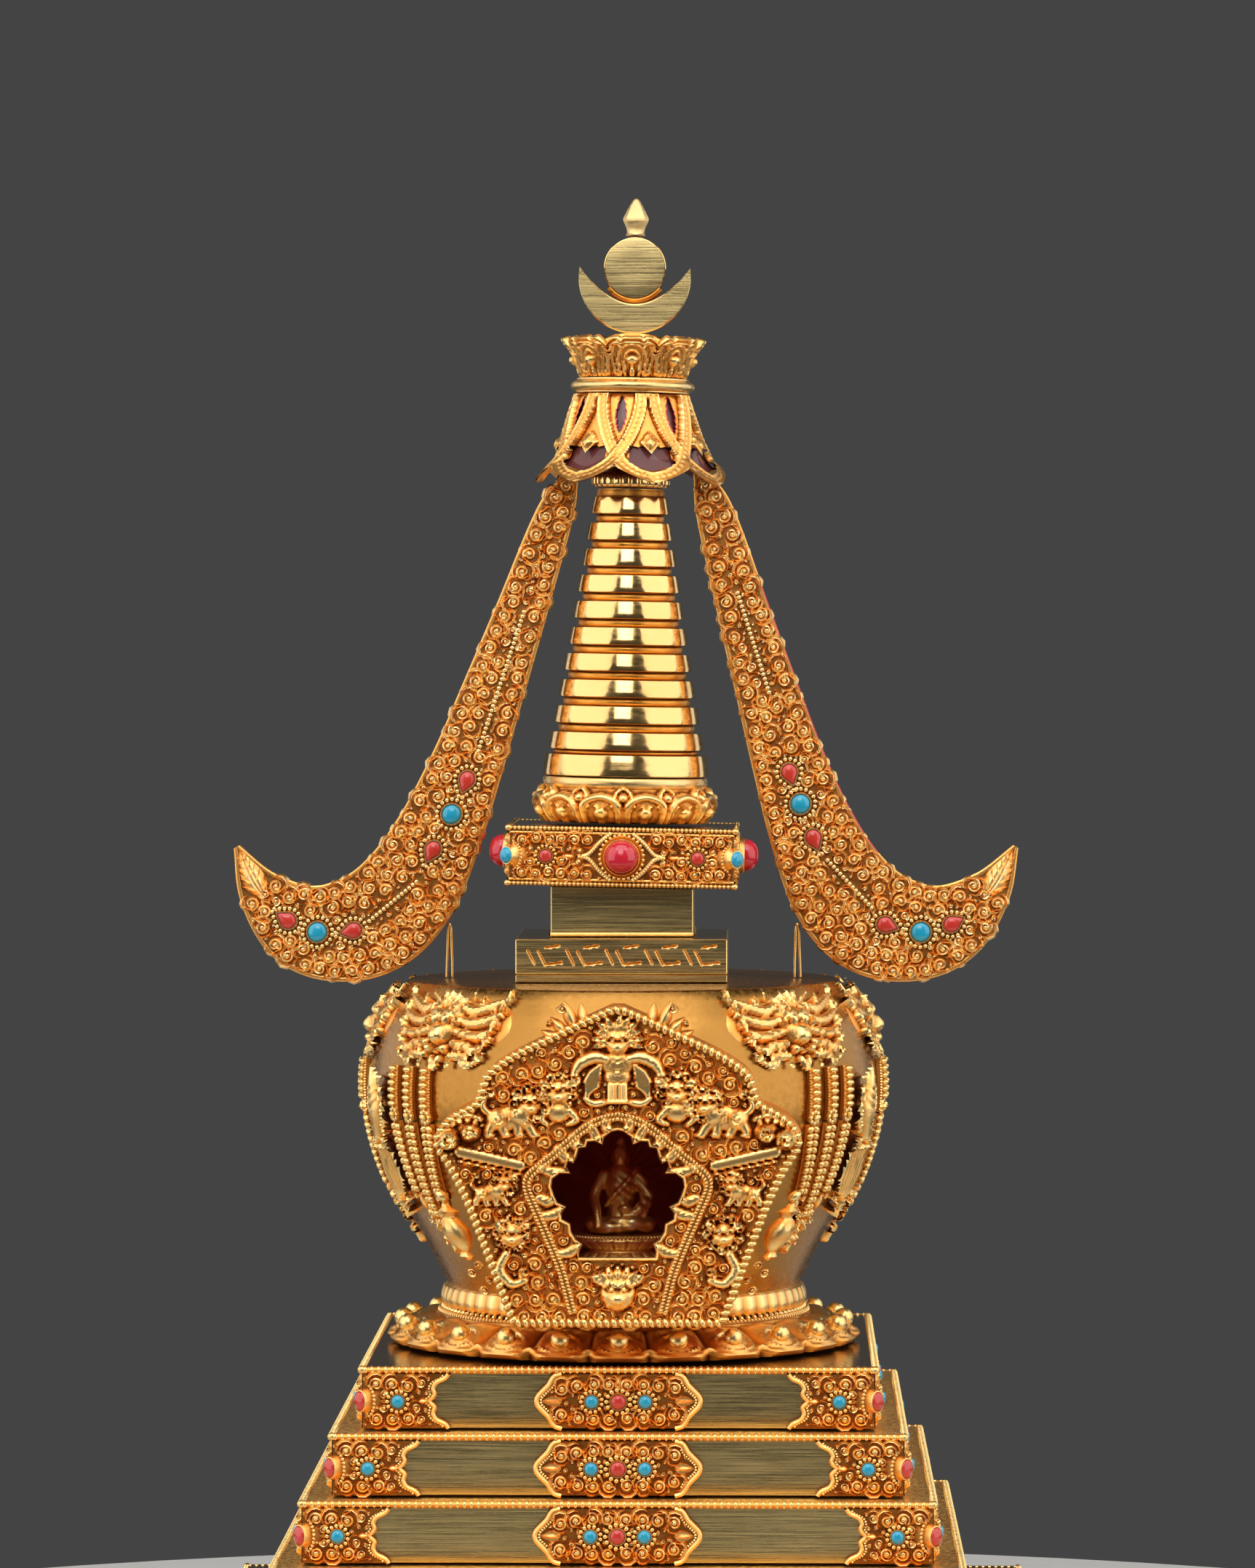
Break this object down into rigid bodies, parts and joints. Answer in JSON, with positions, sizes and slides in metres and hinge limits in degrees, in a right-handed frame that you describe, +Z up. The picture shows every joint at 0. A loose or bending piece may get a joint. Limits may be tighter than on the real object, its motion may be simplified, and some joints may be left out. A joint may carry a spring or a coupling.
{
  "type": "altar stupa",
  "caption": "Gilt altar stupa with a stepped square base, a bulbous dome with a niche and seated figure, a ringed spire, parasol, moon and sun finial and curled side streamers",
  "frame": {"origin": "centre of the square foot, on the surface that the stupa stands on", "axes": "+Z up the spire, -Y the front with the niche, +X to the viewer's right"},
  "size_m": [0.231, 0.231, 0.4323],
  "materials": {
    "gold_polished": "polished gilt copper",
    "gold_carved": "satin gilt relief, darker in its hollows",
    "gold_brushed": "gilt plate brushed along its length",
    "gold_dark": "darker gilt bronze",
    "coral": "polished coral red stone"
  },
  "bodies": {
    "root": {"buddha": "gold_dark", "buddha_seat": "gold_dark", "coral_back": "coral", "coral_front": "coral", "coral_left": "coral", "coral_right": "coral", "crown_cap": "gold_polished", "crown_lotus": "gold_carved", "dome": "gold_polished", "finial_jewel": "gold_polished", "finial_moon": "gold_brushed", "finial_sun": "gold_brushed", "garland_135": "gold_carved", "garland_180": "gold_carved", "garland_225": "gold_carved", "garland_270": "gold_carved", "garland_315": "gold_carved", "garland_45": "gold_carved", "garland_90": "gold_carved", "harmika_box": "gold_carved", "harmika_neck": "gold_brushed", "harmika_plinth": "gold_brushed", "hook_left": "gold_polished", "hook_right": "gold_polished", "lotus_ring": "gold_carved", "niche_front": "gold_carved", "parasol": "gold_carved", "parasol_collar": "gold_polished", "parasol_hub": "gold_polished", "pendant_112": "gold_carved", "pendant_157": "gold_carved", "pendant_203": "gold_carved", "pendant_248": "gold_carved", "pendant_292": "gold_carved", "pendant_68": "gold_carved", "spire": "gold_polished", "spire_lotus": "gold_carved", "step_1": "gold_carved", "step_2": "gold_carved", "step_3": "gold_carved", "step_4": "gold_carved", "streamer_left": "gold_carved", "streamer_right": "gold_carved", "throne": "gold_brushed"}
  },
  "joints": []
}
